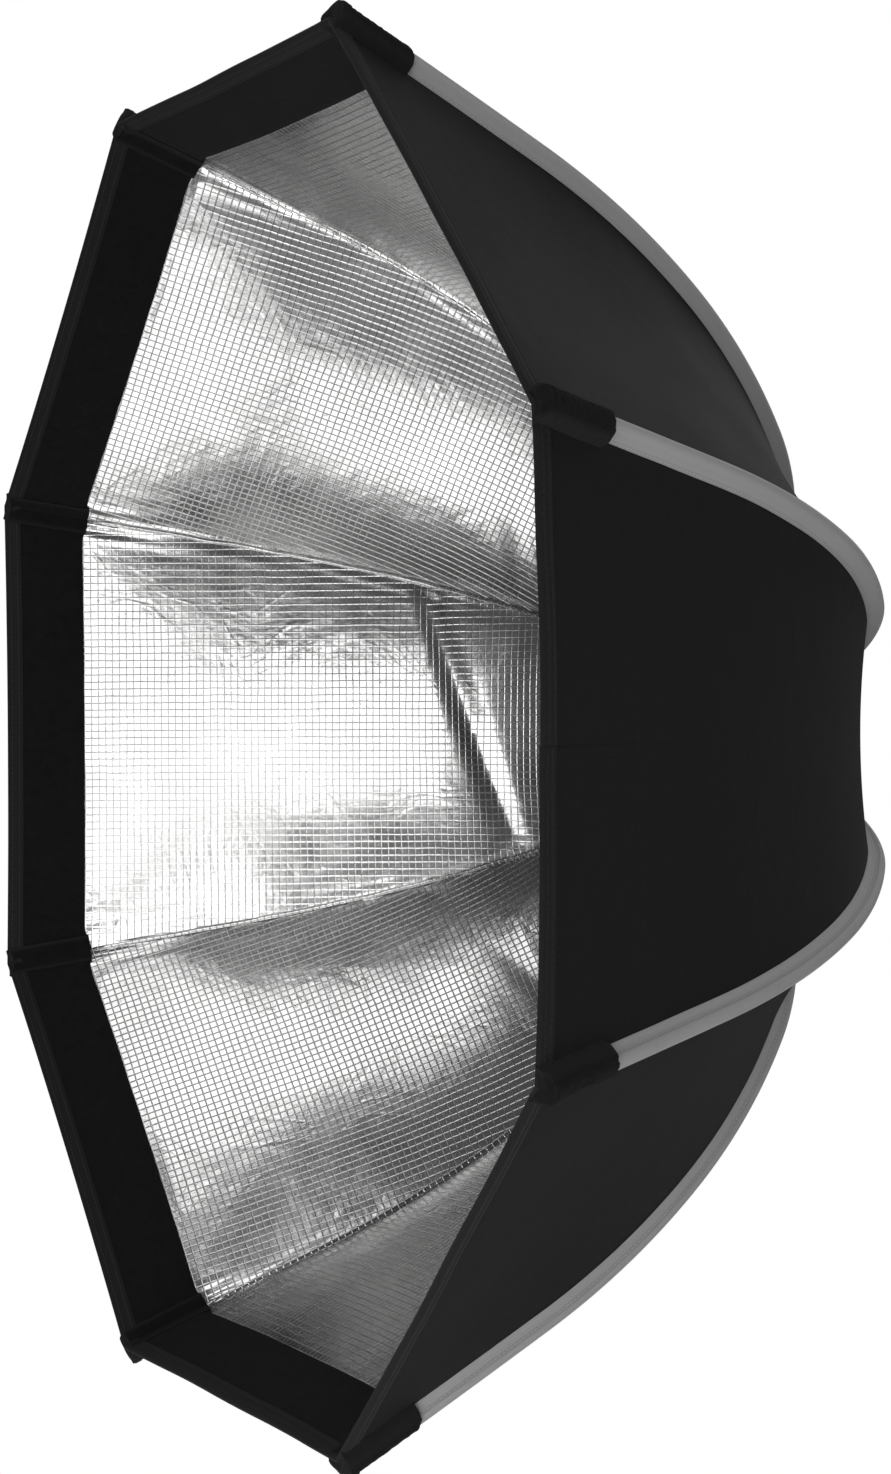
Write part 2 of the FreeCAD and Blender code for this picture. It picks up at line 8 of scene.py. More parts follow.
import bmesh
import bpy
import json
import math
from mathutils import Matrix, Vector, noise
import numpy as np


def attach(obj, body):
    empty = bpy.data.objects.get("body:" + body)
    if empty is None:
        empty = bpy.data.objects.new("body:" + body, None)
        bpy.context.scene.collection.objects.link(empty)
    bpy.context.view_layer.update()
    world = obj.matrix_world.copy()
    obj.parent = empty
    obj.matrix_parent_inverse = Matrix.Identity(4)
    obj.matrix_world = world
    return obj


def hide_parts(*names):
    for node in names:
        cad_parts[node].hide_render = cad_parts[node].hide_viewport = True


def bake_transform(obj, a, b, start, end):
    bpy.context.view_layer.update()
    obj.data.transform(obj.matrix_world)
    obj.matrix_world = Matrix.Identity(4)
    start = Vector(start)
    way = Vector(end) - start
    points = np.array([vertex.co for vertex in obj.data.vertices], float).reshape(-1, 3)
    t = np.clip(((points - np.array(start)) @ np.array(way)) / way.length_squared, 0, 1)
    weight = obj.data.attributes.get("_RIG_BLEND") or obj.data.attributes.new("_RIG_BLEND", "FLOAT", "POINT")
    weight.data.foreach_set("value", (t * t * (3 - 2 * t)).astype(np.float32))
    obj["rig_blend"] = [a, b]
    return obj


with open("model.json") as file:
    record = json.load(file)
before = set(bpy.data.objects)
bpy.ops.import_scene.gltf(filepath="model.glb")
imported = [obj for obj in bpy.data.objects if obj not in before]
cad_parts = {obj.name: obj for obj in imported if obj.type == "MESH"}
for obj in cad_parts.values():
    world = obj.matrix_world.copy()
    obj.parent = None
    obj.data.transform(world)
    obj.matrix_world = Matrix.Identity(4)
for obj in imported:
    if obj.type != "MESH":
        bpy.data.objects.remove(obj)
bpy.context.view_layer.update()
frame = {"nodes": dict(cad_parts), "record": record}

MM = 0.001

ROD_COUNT = 8
SPACING = math.tau / ROD_COUNT
HALF_SPACING = SPACING / 2

# The rods' course, as the frame has it: where its pin is, its lean from straight outwards, then the
# (length, turn) of each stretch, and where the rim, the sleeve and the corner tab are along it.
PIN_RADIUS = 79.0 * MM
PIN_Y = -18.0 * MM
FIRST_LEAN = math.radians(8.2)
COURSE = [
    (46.0 * MM, 0.0),
    (70.0 * MM, math.radians(27.0)),
    (110.0 * MM, math.radians(15.9)),
    (130.0 * MM, math.radians(12.9)),
    (153.3 * MM, math.radians(0.9)),
]
RIM = 499.3 * MM
SLEEVE_START = 46.0 * MM
TAB_START = 450.3 * MM

# The cloth's outer face below the rods' course, and the radius, y and s of its end at the hub.
CLOTH_UNDER_ROD = 5.0 * MM
GORE_HUB = (84.5 * MM, -29.8 * MM)
HUB_END = 6.5 * MM

# Thickness of each layer, and the depth at which the lining and the band start.
CLOTH = 0.35 * MM
LINING_DEPTH = 0.55 * MM
LINING = 0.25 * MM
BAND_DEPTH = 1.3 * MM
BAND = 1.0 * MM
BAND_WIDTH = 50.0 * MM
HEM = 9.0 * MM

# How the stretched cloth departs from a flat gore: drawn in between the rods, uneven and cut back at the
# rim, and pushed out at the middle of each gore's free edge, in millimetres.
HOLLOW = 8.0 * MM
RIM_WAVE = 1.0 * MM
RIM_WAVE_REACH = 0.16
RIM_CUT = 1.3 * MM
RIM_CUT_REACH = 0.2
RIM_SWELL = [3.2, 0.8, 0.3, 0.6, 0.2, 0.7, 0.4, 0.9]

# The crease that runs slanting over each gore's lining: its height in millimetres, then where it crosses
# the middle line, how much it climbs across the gore, and its half width.
CREASES = [0.4, 0.9, 0.3, 0.5, 2.8, 0.7, 0.4, 0.8]
CREASE_AT = 0.179
CREASE_SLOPE = 0.38
CREASE_HALF_WIDTH = 0.009

# Cells of the sheets, across and along a half gore.
CLOTH_CELLS = (28, 110)
LINING_CELLS = (40, 140)
BAND_CELLS = (24, 14)

# The line across a half gore over which it turns from its rod to its crease, for a rod at angle 0.
FOLD_START = Vector((167.8, -64.9, -48.5)) * MM
FOLD_END = Vector((59.2, -166.9, 65.4)) * MM
# The inner layers bend on a line this much further in, so that they stay inside the outer cloth.
INNER_FOLD = Vector((-0.675, -0.68, -0.28)) * MM


def mix(a, b, share):
    return a + (b - a) * share


def smooth(share):
    share = min(max(share, 0.0), 1.0)
    return share * share * (3 - 2 * share)


def rod_course(s, inset=0.0):
    """Radius, y and lean at distance s from the hinge pin, moved inset towards the box's axis."""
    radius, y, lean = PIN_RADIUS, PIN_Y, FIRST_LEAN
    for length, turn in COURSE:
        run = min(max(s, 0.0), length)
        bend = turn * run / length
        if bend < 1e-9:
            radius += run * math.cos(lean)
            y -= run * math.sin(lean)
        else:
            arc = run / bend
            radius += arc * (math.sin(lean + bend) - math.sin(lean))
            y -= arc * (math.cos(lean) - math.cos(lean + bend))
        lean += bend
        s -= length
        if s <= 0:
            break
    return radius - inset * math.sin(lean), y - inset * math.cos(lean), lean


def cloth_course(s, depth):
    """The same for the cloth under the rods, depth below its outer face; it starts at the hub's rim."""
    if s >= SLEEVE_START:
        return rod_course(s, CLOTH_UNDER_ROD + depth)
    far_r, far_y, _ = rod_course(SLEEVE_START, CLOTH_UNDER_ROD)
    share = (s - HUB_END) / (SLEEVE_START - HUB_END)
    lean = math.atan2(GORE_HUB[1] - far_y, far_r - GORE_HUB[0])
    radius = GORE_HUB[0] + share * (far_r - GORE_HUB[0])
    y = GORE_HUB[1] + share * (far_y - GORE_HUB[1])
    return radius - depth * math.sin(lean), y - depth * math.cos(lean), lean


def around_axis(x, y, z, angle):
    """The point (x, y, z) carried round the Y axis from +X towards +Z."""
    c, s = math.cos(angle), math.sin(angle)
    return Vector((x * c - z * s, y, x * s + z * c))


def hollow(s, across):
    """How far the stretched cloth is drawn in between two rods."""
    share = min(max((s - HUB_END) / (RIM - HUB_END), 0.0), 1.0)
    return HOLLOW * math.sin(math.pi * share) * (1 - across * across)


def rim_wave(angle, s, across):
    """How the cloth's free edge stands in or out of the line between two corners."""
    near_rim = min(max((s - RIM + RIM_WAVE_REACH) / RIM_WAVE_REACH, 0.0), 1.0)
    wave = RIM_WAVE * noise.noise(Vector((across * 2.3, angle * 3.1, 4.0)))
    swell = RIM_SWELL[round(angle / SPACING) % ROD_COUNT] * MM
    return near_rim * near_rim * (wave * (1 - across**4) - swell * (1 - across**2))


def gore_point(angle, s, across, depth=0.0):
    """A point of the gore that is centred on angle, depth below the outer face of its cloth."""
    s -= RIM_CUT * (1 - across * across) * smooth((s - RIM) / RIM_CUT_REACH + 1)
    radius, y, lean = cloth_course(s, depth)
    flat = math.cos(HALF_SPACING)
    down = Vector((-math.sin(lean), -math.cos(lean) * flat, 0)).normalized()
    drop = hollow(s, across) + rim_wave(angle, s, across)
    x = radius * flat + down.x * drop
    z = across * radius * math.sin(HALF_SPACING)
    return around_axis(x, y + down.y * drop, z, angle)


def gore_uv(s, across):
    """Cloth coordinates in metres: across the gore, and along it from the hub."""
    return (across * rod_course(s)[0] * math.sin(HALF_SPACING), s)


def rod_point(angle, s, side, height):
    """A point beside a rod's course: side is round the box and height is away from its axis."""
    radius, y, lean = rod_course(s, -height)
    return around_axis(radius, y, side, angle)


# ---------------------------------------------------------------- meshes


def finish_mesh(bm, name, material, body=None, sharp=40.0):
    """Turns a bmesh into a piece with outward faces, smooth up to the sharp angle."""
    bmesh.ops.recalc_face_normals(bm, faces=bm.faces[:])
    mesh = bpy.data.meshes.new(name)
    bm.to_mesh(mesh)
    bm.free()
    for face in mesh.polygons:
        face.use_smooth = True
    mesh.set_sharp_from_angle(angle=math.radians(sharp))
    mesh.materials.append(material)
    piece = bpy.data.objects.new(name, mesh)
    bpy.context.scene.collection.objects.link(piece)
    if body:
        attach(piece, body)
    return piece


def sheet_mesh(cells_across, cells_along, place, uv):
    """A closed sheet over u, v from 0 to 1: place(u, v, back) gives the point of its front or back face."""
    bm = bmesh.new()
    bmesh.ops.create_grid(bm, x_segments=cells_across, y_segments=cells_along, size=0.5)
    spot_u = bm.verts.layers.float.new("spot_u")
    spot_v = bm.verts.layers.float.new("spot_v")
    spot_back = bm.verts.layers.float.new("spot_back")
    for vert in bm.verts:
        vert[spot_u] = vert.co.x + 0.5
        vert[spot_v] = vert.co.y + 0.5
    made = bmesh.ops.extrude_face_region(bm, geom=bm.faces[:], use_keep_orig=True)
    for part in made["geom"]:
        if isinstance(part, bmesh.types.BMVert):
            part[spot_back] = 1.0
    cloth_uv = bm.loops.layers.uv.new("UVMap")
    for face in bm.faces:
        for loop in face.loops:
            loop[cloth_uv].uv = uv(loop.vert[spot_u], loop.vert[spot_v])
    for vert in bm.verts:
        vert.co = place(vert[spot_u], vert[spot_v], vert[spot_back])
    for name in ("spot_u", "spot_v", "spot_back"):
        bm.verts.layers.float.remove(bm.verts.layers.float[name])
    return bm


def swept_mesh(outline, cells_along, place, length):
    """A closed bar: outline is its section as (side, height), and place(side, height, v) puts it at v."""
    closed = outline + outline[:1]
    steps = [0.0]
    for a, b in zip(closed, closed[1:]):
        steps.append(steps[-1] + math.dist(a, b))
    bm = bmesh.new()
    bmesh.ops.create_grid(bm, x_segments=len(outline), y_segments=cells_along, size=0.5)
    cloth_uv = bm.loops.layers.uv.new("UVMap")
    for face in bm.faces:
        for loop in face.loops:
            corner = round((loop.vert.co.x + 0.5) * len(outline))
            loop[cloth_uv].uv = (steps[corner], (loop.vert.co.y + 0.5) * length)
    for vert in bm.verts:
        side, height = closed[round((vert.co.x + 0.5) * len(outline))]
        vert.co = place(side, height, vert.co.y + 0.5)
    bmesh.ops.remove_doubles(bm, verts=bm.verts[:], dist=1e-6)
    ends = [edge for edge in bm.edges if edge.is_boundary]
    bmesh.ops.holes_fill(bm, edges=ends, sides=0)
    return bm


# ---------------------------------------------------------------- materials


class Nodes:
    """Short ways to add nodes to a tree."""

    def __init__(self, tree):
        self.tree = tree

    def add(self, kind, **settings):
        node = self.tree.nodes.new(kind)
        for name, value in settings.items():
            setattr(node, name, value)
        return node

    def feed(self, value, socket):
        if isinstance(value, bpy.types.NodeSocket):
            self.tree.links.new(value, socket)
        elif value is not None:
            socket.default_value = value

    def math(self, operation, a, b=None, c=None, clamp=False):
        node = self.add("ShaderNodeMath", operation=operation, use_clamp=clamp)
        for value, socket in zip((a, b, c), node.inputs):
            self.feed(value, socket)
        return node.outputs[0]

    def span(self, value, low, high, to_low=0.0, to_high=1.0, kind="SMOOTHSTEP"):
        node = self.add("ShaderNodeMapRange", interpolation_type=kind)
        for item, socket in zip((value, low, high, to_low, to_high), node.inputs):
            self.feed(item, socket)
        return node.outputs[0]

    def blend(self, share, a, b):
        node = self.add("ShaderNodeMix", data_type="RGBA")
        self.feed(share, node.inputs["Factor"])
        self.feed(a, node.inputs["A"])
        self.feed(b, node.inputs["B"])
        return node.outputs["Result"]

    def noise(self, vector, scale, detail=3.0, rough=0.5, warp=0.0):
        node = self.add("ShaderNodeTexNoise")
        self.feed(vector, node.inputs["Vector"])
        for name, value in (
            ("Scale", scale),
            ("Detail", detail),
            ("Roughness", rough),
            ("Distortion", warp),
        ):
            self.feed(value, node.inputs[name])
        return node.outputs["Fac"]

    def stretch(self, vector, factors):
        node = self.add("ShaderNodeVectorMath", operation="MULTIPLY")
        self.feed(vector, node.inputs[0])
        node.inputs[1].default_value = factors
        return node.outputs[0]

    def split(self, vector):
        node = self.add("ShaderNodeSeparateXYZ")
        self.feed(vector, node.inputs[0])
        return node.outputs[0], node.outputs[1], node.outputs[2]

    def bump(self, height, distance, strength=1.0, under=None):
        node = self.add("ShaderNodeBump")
        self.feed(height, node.inputs["Height"])
        node.inputs["Distance"].default_value = distance
        node.inputs["Strength"].default_value = strength
        if under is not None:
            self.feed(under, node.inputs["Normal"])
        return node.outputs["Normal"]

    def group(self, tree, **values):
        node = self.add("ShaderNodeGroup", node_tree=tree)
        for name, value in values.items():
            self.feed(value, node.inputs[name.replace("_", " ")])
        return node.outputs


def effect(name, takes, gives):
    """A new node group with named sockets; returns it with its ends."""
    tree = bpy.data.node_groups.new(name, "ShaderNodeTree")
    for title, kind, value in takes:
        socket = tree.interface.new_socket(title, in_out="INPUT", socket_type=kind)
        if value is not None:
            socket.default_value = value
    for title, kind in gives:
        tree.interface.new_socket(title, in_out="OUTPUT", socket_type=kind)
    n = Nodes(tree)
    start, end = n.add("NodeGroupInput"), n.add("NodeGroupOutput")
    return tree, n, start.outputs, end.inputs


FLOAT, VECTOR = "NodeSocketFloat", "NodeSocketVector"


def make_weave():
    """Plain weave: over and under threads at a pitch, with uneven yarn."""
    tree, n, takes, gives = effect(
        "plain_weave",
        [("Place", VECTOR, None), ("Pitch", FLOAT, 0.0006)],
        [("Height", FLOAT), ("Shade", FLOAT)],
    )
    x, y, _ = n.split(takes["Place"])
    turn = n.math("DIVIDE", math.pi, takes["Pitch"])
    warp = n.math("SINE", n.math("MULTIPLY", x, turn))
    weft = n.math("SINE", n.math("MULTIPLY", y, turn))
    over = n.math("MULTIPLY", warp, weft)
    yarn = n.noise(n.stretch(takes["Place"], (900.0, 60.0, 1.0)), 1.0, 2.0)
    height = n.math("MULTIPLY_ADD", n.math("ABSOLUTE", over), 0.7, n.math("MULTIPLY", yarn, 0.3))
    n.feed(height, gives["Height"])
    n.feed(n.span(height, 0.0, 1.0, 0.86, 1.08, "LINEAR"), gives["Shade"])
    return tree


def make_thread_grid():
    """Fine reinforcing threads in a rectangular grid, pressed into a laminate."""
    tree, n, takes, gives = effect(
        "thread_grid",
        [
            ("Place", VECTOR, None),
            ("Pitch", FLOAT, 0.0045),
            ("Thread", FLOAT, 0.16),
        ],
        [("Height", FLOAT), ("Line", FLOAT)],
    )
    wander = n.noise(takes["Place"], 26.0, 2.0)
    shift = n.math("MULTIPLY", n.math("SUBTRACT", wander, 0.5), 0.0016)
    lines = []
    for axis in n.split(takes["Place"])[:2]:
        place = n.math("DIVIDE", n.math("ADD", axis, shift), takes["Pitch"])
        ramp = n.math("ABSOLUTE", n.math("SUBTRACT", n.math("FRACT", place), 0.5))
        lines.append(n.span(ramp, 0.0, takes["Thread"], 1.0, 0.0))
    line = n.math("MAXIMUM", lines[0], lines[1])
    n.feed(line, gives["Line"])
    n.feed(line, gives["Height"])
    return tree


def make_crumple():
    """Creases and soft pillows of a film that has been folded many times."""
    tree, n, takes, gives = effect(
        "crumple",
        [("Place", VECTOR, None), ("Size", FLOAT, 0.02)],
        [("Height", FLOAT)],
    )
    scale = n.math("DIVIDE", 1.0, takes["Size"])
    soft = n.noise(takes["Place"], scale, 3.0, 0.55, 0.6)
    fold = n.noise(takes["Place"], n.math("MULTIPLY", scale, 0.55), 2.0, 0.5, 1.6)
    crease = n.math("ABSOLUTE", n.math("SUBTRACT", fold, 0.5))
    crease = n.span(crease, 0.0, 0.06, 1.0, 0.0)
    n.feed(n.math("MULTIPLY_ADD", crease, 0.07, soft), gives["Height"])
    return tree


def make_pile():
    """Brushed loops: short fibres in all directions."""
    tree, n, takes, gives = effect(
        "loop_pile",
        [("Place", VECTOR, None), ("Size", FLOAT, 0.0009)],
        [("Height", FLOAT), ("Shade", FLOAT)],
    )
    scale = n.math("DIVIDE", 1.0, takes["Size"])
    curls = n.noise(takes["Place"], scale, 4.0, 0.7, 2.2)
    clumps = n.noise(takes["Place"], n.math("MULTIPLY", scale, 0.16), 3.0, 0.6, 0.8)
    height = n.math("MULTIPLY_ADD", clumps, 0.6, n.math("MULTIPLY", curls, 0.6))
    n.feed(height, gives["Height"])
    n.feed(n.span(height, 0.35, 0.85, 0.55, 1.7, "LINEAR"), gives["Shade"])
    return tree


def make_stitches():
    """A row of stitches along V where U is at a given place."""
    tree, n, takes, gives = effect(
        "stitch_row",
        [
            ("Place", VECTOR, None),
            ("Line", FLOAT, 0.0),
            ("Pitch", FLOAT, 0.003),
            ("Width", FLOAT, 0.0005),
        ],
        [("Thread", FLOAT), ("Dip", FLOAT)],
    )
    u, v, _ = n.split(takes["Place"])
    off = n.math("ABSOLUTE", n.math("SUBTRACT", u, takes["Line"]))
    beside = n.span(off, n.math("MULTIPLY", takes["Width"], 0.4), takes["Width"], 1.0, 0.0)
    stitch = n.math("FRACT", n.math("DIVIDE", v, takes["Pitch"]))
    step = n.math("ABSOLUTE", n.math("SUBTRACT", stitch, 0.5))
    along = n.span(step, 0.33, 0.42, 1.0, 0.0)
    n.feed(n.math("MULTIPLY", beside, along), gives["Thread"])
    n.feed(n.span(off, 0.0, n.math("MULTIPLY", takes["Width"], 4.0), 1.0, 0.0), gives["Dip"])
    return tree


def make_dust():
    """Lint and handling marks: a soft mask of lighter patches."""
    tree, n, takes, gives = effect(
        "dust",
        [("Place", VECTOR, None), ("Amount", FLOAT, 0.1)],
        [("Mask", FLOAT)],
    )
    patches = n.noise(takes["Place"], 9.0, 5.0, 0.6)
    specks = n.noise(takes["Place"], 420.0, 2.0, 0.5)
    mask = n.math("MULTIPLY", n.span(patches, 0.4, 0.7), n.span(specks, 0.55, 0.75))
    mask = n.math("MULTIPLY_ADD", n.span(patches, 0.35, 0.75), 0.35, mask)
    n.feed(n.math("MULTIPLY", mask, takes["Amount"], clamp=True), gives["Mask"])
    return tree


def make_grain():
    """Fine moulded or cast grain with faint larger flow marks."""
    tree, n, takes, gives = effect(
        "grain",
        [("Place", VECTOR, None), ("Size", FLOAT, 0.0006)],
        [("Height", FLOAT), ("Shade", FLOAT)],
    )
    fine = n.noise(takes["Place"], n.math("DIVIDE", 1.0, takes["Size"]), 3.0, 0.6)
    flow = n.noise(takes["Place"], 35.0, 3.0, 0.5, 0.7)
    n.feed(fine, gives["Height"])
    tone = n.math("MULTIPLY_ADD", flow, 0.6, n.math("MULTIPLY", fine, 0.4))
    n.feed(n.span(tone, 0.2, 0.8, 0.88, 1.12, "LINEAR"), gives["Shade"])
    return tree


WEAVE, GRID, CRUMPLE, PILE = make_weave(), make_thread_grid(), make_crumple(), make_pile()
STITCH, DUST, GRAIN = make_stitches(), make_dust(), make_grain()


def material(name, colour, rough, metallic=0.0, **fixed):
    """A Principled material; returns it with its node helper and its shader's inputs."""
    made = bpy.data.materials.new(name)
    made.use_nodes = True
    n = Nodes(made.node_tree)
    shader = made.node_tree.nodes["Principled BSDF"]
    shader.inputs["Base Color"].default_value = (*colour, 1)
    shader.inputs["Roughness"].default_value = rough
    shader.inputs["Metallic"].default_value = metallic
    for title, value in fixed.items():
        shader.inputs[title.replace("_", " ")].default_value = value
    made.diffuse_color = (*colour, 1)
    return made, n, shader.inputs


def cloth_place(n):
    return n.add("ShaderNodeUVMap", uv_map="UVMap").outputs[0]


def body_place(n):
    return n.add("ShaderNodeTexCoord").outputs["Object"]


def shaded(n, colour, shade):
    """The colour made lighter or darker by a value about 1."""
    node = n.add("ShaderNodeVectorMath", operation="SCALE")
    node.inputs[0].default_value = colour
    n.feed(shade, node.inputs["Scale"])
    return node.outputs[0]


CLOTH_BLACK = (0.011, 0.011, 0.0115)
FLEECE_BLACK = (0.006, 0.006, 0.0065)
TAPE_BLACK = (0.014, 0.014, 0.015)
SLEEVE_GREY = (0.48, 0.48, 0.48)


def outer_cloth():
    made, n, into = material(
        "black_polyester",
        CLOTH_BLACK,
        0.75,
        Specular_IOR_Level=0.16,
        Sheen_Weight=0.03,
        Sheen_Roughness=0.45,
    )
    place, body = cloth_place(n), body_place(n)
    weave = n.group(WEAVE, Place=place, Pitch=0.0007)
    dust = n.group(DUST, Place=body, Amount=0.16)
    crumple = n.group(CRUMPLE, Place=body, Size=0.06)
    base = shaded(n, CLOTH_BLACK, weave["Shade"])
    n.feed(n.blend(dust["Mask"], base, (0.03, 0.03, 0.031, 1)), into["Base Color"])
    n.feed(n.span(dust["Mask"], 0.0, 0.2, 0.66, 0.82, "LINEAR"), into["Roughness"])
    big = n.bump(crumple["Height"], 0.0016, 0.5)
    n.feed(n.bump(weave["Height"], 0.00012, 0.8, big), into["Normal"])
    return made


def lining_cloth():
    made, n, into = material("silver_lining", (0.56, 0.56, 0.56), 0.22, 1.0)
    place, body = cloth_place(n), body_place(n)
    grid = n.group(GRID, Place=place, Pitch=0.0047, Thread=0.12)
    crumple = n.group(CRUMPLE, Place=body, Size=0.034)
    fine = n.group(CRUMPLE, Place=body, Size=0.007)
    tone = n.span(n.noise(body, 11.0, 3.0), 0.3, 0.7, 0.86, 1.06, "LINEAR")
    base = shaded(n, (0.57, 0.57, 0.565), tone)
    thread = n.math("MULTIPLY", grid["Line"], 0.3)
    n.feed(n.blend(thread, base, (0.3, 0.3, 0.3, 1)), into["Base Color"])
    rough = n.span(n.noise(body, 30.0, 2.0), 0.3, 0.7, 0.15, 0.21, "LINEAR")
    n.feed(n.math("MULTIPLY_ADD", grid["Line"], 0.1, rough), into["Roughness"])
    soft = n.bump(crumple["Height"], 0.0009, 0.5)
    small = n.bump(fine["Height"], 0.0002, 0.35, soft)
    n.feed(n.bump(grid["Height"], 0.00011, 0.7, small), into["Normal"])
    return made


def fleece(name):
    """Black loop pile with lint; returns its material, node helper, inputs and base colour."""
    made, n, into = material(
        name,
        FLEECE_BLACK,
        0.95,
        Specular_IOR_Level=0.1,
        Sheen_Weight=0.04,
        Sheen_Roughness=0.6,
    )
    body = body_place(n)
    pile = n.group(PILE, Place=body, Size=0.0011)
    dust = n.group(DUST, Place=body, Amount=0.2)
    lint = (0.02, 0.02, 0.021, 1)
    base = n.blend(dust["Mask"], shaded(n, FLEECE_BLACK, pile["Shade"]), lint)
    n.feed(n.bump(pile["Height"], 0.0007, 0.9), into["Normal"])
    return made, n, into, base


def loop_fleece():
    made, n, into, base = fleece("black_loop_fleece")
    n.feed(base, into["Base Color"])
    return made


def strap_fleece():
    """The same fleece as a strap, with a painted highlight along each edge."""
    made, n, into, base = fleece("strap_fleece")
    place = cloth_place(n)
    near = n.group(STITCH, Place=place, Line=0.0004, Pitch=1.0, Width=0.0007)
    far = n.group(STITCH, Place=place, Line=0.0166, Pitch=1.0, Width=0.0007)
    # Painted highlight: the fleece is lighter in a band along each edge of the strap.
    edge = n.math("MULTIPLY", n.math("MAXIMUM", near["Dip"], far["Dip"]), 0.5)
    n.feed(n.blend(edge, base, (0.024, 0.024, 0.025, 1)), into["Base Color"])
    return made


def binding_tape():
    made, n, into = material(
        "woven_binding",
        TAPE_BLACK,
        0.8,
        Specular_IOR_Level=0.16,
        Sheen_Weight=0.05,
        Sheen_Roughness=0.5,
    )
    place, body = cloth_place(n), body_place(n)
    rib = n.group(WEAVE, Place=place, Pitch=0.0011)
    near = n.group(STITCH, Place=place, Line=0.0025, Pitch=0.0034, Width=0.0005)
    far = n.group(STITCH, Place=place, Line=0.0072, Pitch=0.0034, Width=0.0005)
    thread = n.math("MAXIMUM", near["Thread"], far["Thread"])
    dip = n.math("MAXIMUM", near["Dip"], far["Dip"])
    dust = n.group(DUST, Place=body, Amount=0.18)
    base = n.blend(thread, shaded(n, TAPE_BLACK, rib["Shade"]), (0.03, 0.03, 0.031, 1))
    n.feed(n.blend(dust["Mask"], base, (0.035, 0.035, 0.035, 1)), into["Base Color"])
    sewn = n.math("SUBTRACT", thread, n.math("MULTIPLY", dip, 0.8))
    height = n.math("MULTIPLY_ADD", rib["Height"], 0.25, sewn)
    n.feed(n.bump(height, 0.0004, 0.9), into["Normal"])
    return made


def sleeve_cloth():
    made, n, into = material("grey_webbing", SLEEVE_GREY, 0.55, Sheen_Weight=0.3, Sheen_Roughness=0.4)
    place, body = cloth_place(n), body_place(n)
    rib = n.group(WEAVE, Place=place, Pitch=0.0009)
    row = n.group(STITCH, Place=place, Line=0.0062, Pitch=0.003, Width=0.00045)
    back_row = n.group(STITCH, Place=place, Line=0.0252, Pitch=0.003, Width=0.00045)
    thread = n.math("MAXIMUM", row["Thread"], back_row["Thread"])
    dip = n.math("MAXIMUM", row["Dip"], back_row["Dip"])
    dust = n.group(DUST, Place=body, Amount=0.3)
    base = n.blend(dust["Mask"], shaded(n, SLEEVE_GREY, rib["Shade"]), (0.33, 0.33, 0.33, 1))
    # Painted shade: the webbing is darker in the groove beside each row of stitches.
    base = n.blend(n.math("MULTIPLY", dip, 0.35), base, (0.22, 0.22, 0.22, 1))
    n.feed(n.blend(thread, base, (0.55, 0.55, 0.55, 1)), into["Base Color"])
    height = n.math("MULTIPLY_ADD", rib["Height"], 0.2, n.math("SUBTRACT", thread, dip))
    n.feed(n.bump(height, 0.0004, 0.8), into["Normal"])
    return made


def plain_finish(name, colour, rough, metallic, grain_size, depth, light, edge=0.0, **fixed):
    """Moulded or machined finish with grain, tone and dust."""
    made, n, into = material(name, colour, rough, metallic, **fixed)
    body = body_place(n)
    grain = n.group(GRAIN, Place=body, Size=grain_size)
    dust = n.group(DUST, Place=body, Amount=light)
    pale = tuple(min(1.0, c * 1.6 + 0.05) for c in colour)
    n.feed(n.blend(dust["Mask"], shaded(n, colour, grain["Shade"]), (*pale, 1)), into["Base Color"])
    n.feed(n.span(grain["Height"], 0.25, 0.75, rough - 0.07, rough + 0.09, "LINEAR"), into["Roughness"])
    n.feed(n.bump(grain["Height"], depth, 0.6), into["Normal"])
    return made


OUTER, LINING_LOOK, FLEECE, STRAP = outer_cloth(), lining_cloth(), loop_fleece(), strap_fleece()
BINDING, SLEEVE = binding_tape(), sleeve_cloth()
FINISHES = {
    "mount_metal": plain_finish("turned_aluminium", (0.62, 0.62, 0.63), 0.3, 1.0, 0.0008, 0.00004, 0.15),
    "hub_plastic": plain_finish("black_nylon", (0.024, 0.024, 0.026), 0.5, 0.0, 0.0007, 0.00012, 0.25),
    "lever_plastic": plain_finish("grip_plastic", (0.045, 0.045, 0.05), 0.45, 0.0, 0.0006, 0.00008, 0.25),
    "screw_steel": plain_finish("dark_zinc", (0.30, 0.30, 0.31), 0.35, 1.0, 0.0005, 0.00003, 0.1),
    "holder_metal": plain_finish("black_powder_coat", (0.03, 0.03, 0.032), 0.42, 0.0, 0.0009, 0.00015, 0.2),
    "rod_steel": plain_finish("drawn_steel", (0.52, 0.52, 0.54), 0.28, 1.0, 0.0006, 0.00002, 0.08),
}
for entry in frame["record"]["subparts"]:
    look = FINISHES.get(entry["material_slot"])
    if look:
        data = frame["nodes"][entry["node"]].data
        data.materials.clear()
        data.materials.append(look)

# ---------------------------------------------------------------- gores


def half_gore_area():
    steps = 200
    step = (RIM - HUB_END) / steps
    middles = [HUB_END + step * (i + 0.5) for i in range(steps)]
    return sum(cloth_course(s, 0.0)[0] * math.sin(HALF_SPACING) * step for s in middles)


def fold_with(piece, number, word, inner=False):
    """The piece bends from its rod to the crease of its half gore."""
    angle = rod_angle(number)
    side = 1 if word == "above" else -1
    shift = INNER_FOLD if inner else Vector((0, 0, 0))
    ends = (FOLD_START + shift, FOLD_END + shift)
    start, end = (around_axis(p.x, p.y, side * p.z, angle) for p in ends)
    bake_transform(piece, f"rod_{number}", f"flap_{word}_{number}", start=start, end=end)


def rod_angle(number):
    return HALF_SPACING + SPACING * (number - 1)


def half_gore(number, word):
    """Centre angle of the gore, and the stretch across it that belongs to this rod."""
    angle = rod_angle(number)
    if word == "above":
        return angle + HALF_SPACING, -1.0, 0.0
    return angle - HALF_SPACING, 0.0, 1.0


